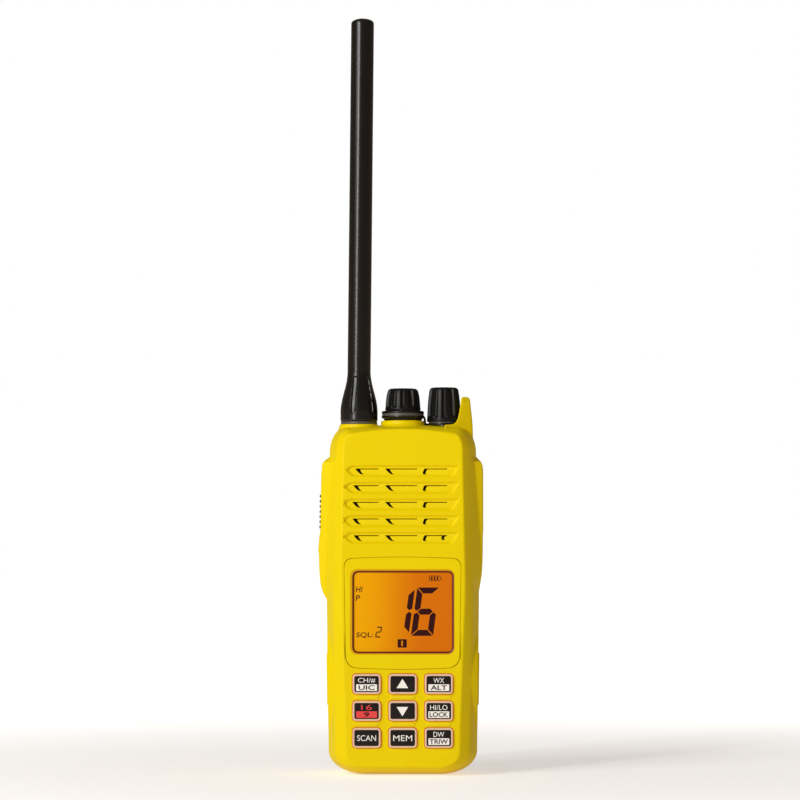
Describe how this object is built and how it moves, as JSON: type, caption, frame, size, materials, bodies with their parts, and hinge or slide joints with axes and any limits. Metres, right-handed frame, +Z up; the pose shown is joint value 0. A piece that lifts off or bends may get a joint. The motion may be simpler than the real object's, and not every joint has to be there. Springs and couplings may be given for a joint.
{
  "type": "handheld marine radio",
  "caption": "Handheld two-way radio with a whip antenna, two knobs, a backlit display, a keypad, a talk paddle, a slide-off battery pack and a belt clip.",
  "frame": {"origin": "centre of the flat base that the radio stands on", "axes": "+Z up along the antenna, the display and keypad face -Y, +X towards the guard fin and the side jack"},
  "size_m": [0.064, 0.0493, 0.2912],
  "materials": {
    "yellow_case": "satin moulded",
    "black_rubber": "matt moulded",
    "black_plastic": "fine texture",
    "grey_plastic": "fine texture",
    "amber_lens": "polished, printed border",
    "lcd": "backlit amber",
    "key_black": "printed key with a backlit edge",
    "key_red": "printed key with a backlit edge",
    "keypad_rubber": "translucent",
    "white_plastic": "satin",
    "circuit_board": "solder resist",
    "steel": "plated",
    "brass": "plated",
    "cell_wrap": "shrink wrapped",
    "seal_rubber": "soft"
  },
  "bodies": {
    "radio": {"front_housing": "yellow_case", "rear_housing": "yellow_case", "housing_gasket": "seal_rubber", "display_lens": "amber_lens", "lcd_glass": "lcd", "lcd_holder": "white_plastic", "backlight_panel": "white_plastic", "keypad_mat": "keypad_rubber", "key_domes": "steel", "main_board": "circuit_board", "shield_can": "steel", "control_board": "circuit_board", "speaker_frame": "steel", "speaker_cone": "black_plastic", "speaker_membrane": "seal_rubber", "microphone": "steel", "microphone_boot": "seal_rubber", "volume_pot": "steel", "squelch_pot": "steel", "bush_nuts": "steel", "knob_seal": "black_rubber", "antenna_whip": "black_rubber", "antenna_connector": "brass", "antenna_ring": "grey_plastic", "antenna_jack": "brass", "ptt_membrane": "seal_rubber", "ptt_switch": "circuit_board", "jack_cover_pin": "steel", "accessory_jack": "black_plastic", "grip_pads": "yellow_case", "case_screws": "steel", "board_screws": "steel", "chassis_contacts": "brass", "clip_bracket": "black_plastic", "clip_pin": "steel", "clip_spring": "steel"},
    "volume_dial": {"volume_knob": "black_plastic", "volume_shaft": "steel"},
    "squelch_dial": {"squelch_knob": "black_plastic", "squelch_shaft": "steel"},
    "ptt": {"ptt_paddle": "yellow_case", "ptt_grip": "black_rubber"},
    "side_cover": {"jack_cover": "yellow_case"},
    "battery_pack": {"battery_case": "yellow_case", "battery_lid": "yellow_case", "battery_cells": "cell_wrap", "battery_contacts": "brass", "charge_contacts": "brass", "latch_spring": "steel"},
    "latch": {"battery_latch": "black_plastic"},
    "clip": {"belt_clip": "black_plastic"},
    "key_channel_cap": {"key_channel": "key_black"},
    "key_up_cap": {"key_up": "key_black"},
    "key_weather_cap": {"key_weather": "key_black"},
    "key_call_cap": {"key_call": "key_red"},
    "key_down_cap": {"key_down": "key_black"},
    "key_power_cap": {"key_power": "key_black"},
    "key_scan_cap": {"key_scan": "key_black"},
    "key_memory_cap": {"key_memory": "key_black"},
    "key_watch_cap": {"key_watch": "key_black"}
  },
  "joints": [
    {"name": "volume_turn", "type": "hinge", "parent": "radio", "child": "volume_dial", "pos_m": [0, -0.006, 0.1334], "axis": [0, 0, 1], "range_deg": [-150, 150]},
    {"name": "squelch_turn", "type": "hinge", "parent": "radio", "child": "squelch_dial", "pos_m": [0.0158, -0.006, 0.1334], "axis": [0, 0, 1], "range_deg": [-150, 150]},
    {"name": "key_channel_press", "type": "slide", "parent": "radio", "child": "key_channel_cap", "axis": [0, 1, 0], "range_m": [0, 0.0006], "stiffness_N_per_m": 1500, "springref_m": -0.0003},
    {"name": "key_up_press", "type": "slide", "parent": "radio", "child": "key_up_cap", "axis": [0, 1, 0], "range_m": [0, 0.0006], "stiffness_N_per_m": 1500, "springref_m": -0.0003},
    {"name": "key_weather_press", "type": "slide", "parent": "radio", "child": "key_weather_cap", "axis": [0, 1, 0], "range_m": [0, 0.0006], "stiffness_N_per_m": 1500, "springref_m": -0.0003},
    {"name": "key_call_press", "type": "slide", "parent": "radio", "child": "key_call_cap", "axis": [0, 1, 0], "range_m": [0, 0.0006], "stiffness_N_per_m": 1500, "springref_m": -0.0003},
    {"name": "key_down_press", "type": "slide", "parent": "radio", "child": "key_down_cap", "axis": [0, 1, 0], "range_m": [0, 0.0006], "stiffness_N_per_m": 1500, "springref_m": -0.0003},
    {"name": "key_power_press", "type": "slide", "parent": "radio", "child": "key_power_cap", "axis": [0, 1, 0], "range_m": [0, 0.0006], "stiffness_N_per_m": 1500, "springref_m": -0.0003},
    {"name": "key_scan_press", "type": "slide", "parent": "radio", "child": "key_scan_cap", "axis": [0, 1, 0], "range_m": [0, 0.0006], "stiffness_N_per_m": 1500, "springref_m": -0.0003},
    {"name": "key_memory_press", "type": "slide", "parent": "radio", "child": "key_memory_cap", "axis": [0, 1, 0], "range_m": [0, 0.0006], "stiffness_N_per_m": 1500, "springref_m": -0.0003},
    {"name": "key_watch_press", "type": "slide", "parent": "radio", "child": "key_watch_cap", "axis": [0, 1, 0], "range_m": [0, 0.0006], "stiffness_N_per_m": 1500, "springref_m": -0.0003},
    {"name": "ptt_press", "type": "slide", "parent": "radio", "child": "ptt", "axis": [1, 0, 0], "range_m": [0, 0.001], "stiffness_N_per_m": 2500, "springref_m": -0.0008},
    {"name": "cover_open", "type": "hinge", "parent": "radio", "child": "side_cover", "pos_m": [0.0301, 0.0016, 0.1047], "axis": [0, 0, 1], "range_deg": [0, 100]},
    {"name": "pack_slide", "type": "slide", "parent": "radio", "child": "battery_pack", "axis": [0, 0, -1], "range_m": [0, 0.1]},
    {"name": "latch_pull", "type": "slide", "parent": "battery_pack", "child": "latch", "axis": [0, 1, 0], "range_m": [0, 0.0025], "stiffness_N_per_m": 1200, "springref_m": -0.001, "deforming": ["latch_spring"]},
    {"name": "clip_open", "type": "hinge", "parent": "radio", "child": "clip", "pos_m": [0, 0.0245, 0.116], "axis": [1, 0, 0], "range_deg": [0, 18], "stiffness_Nm_per_rad": 1.2, "springref_deg": -14.32}
  ]
}
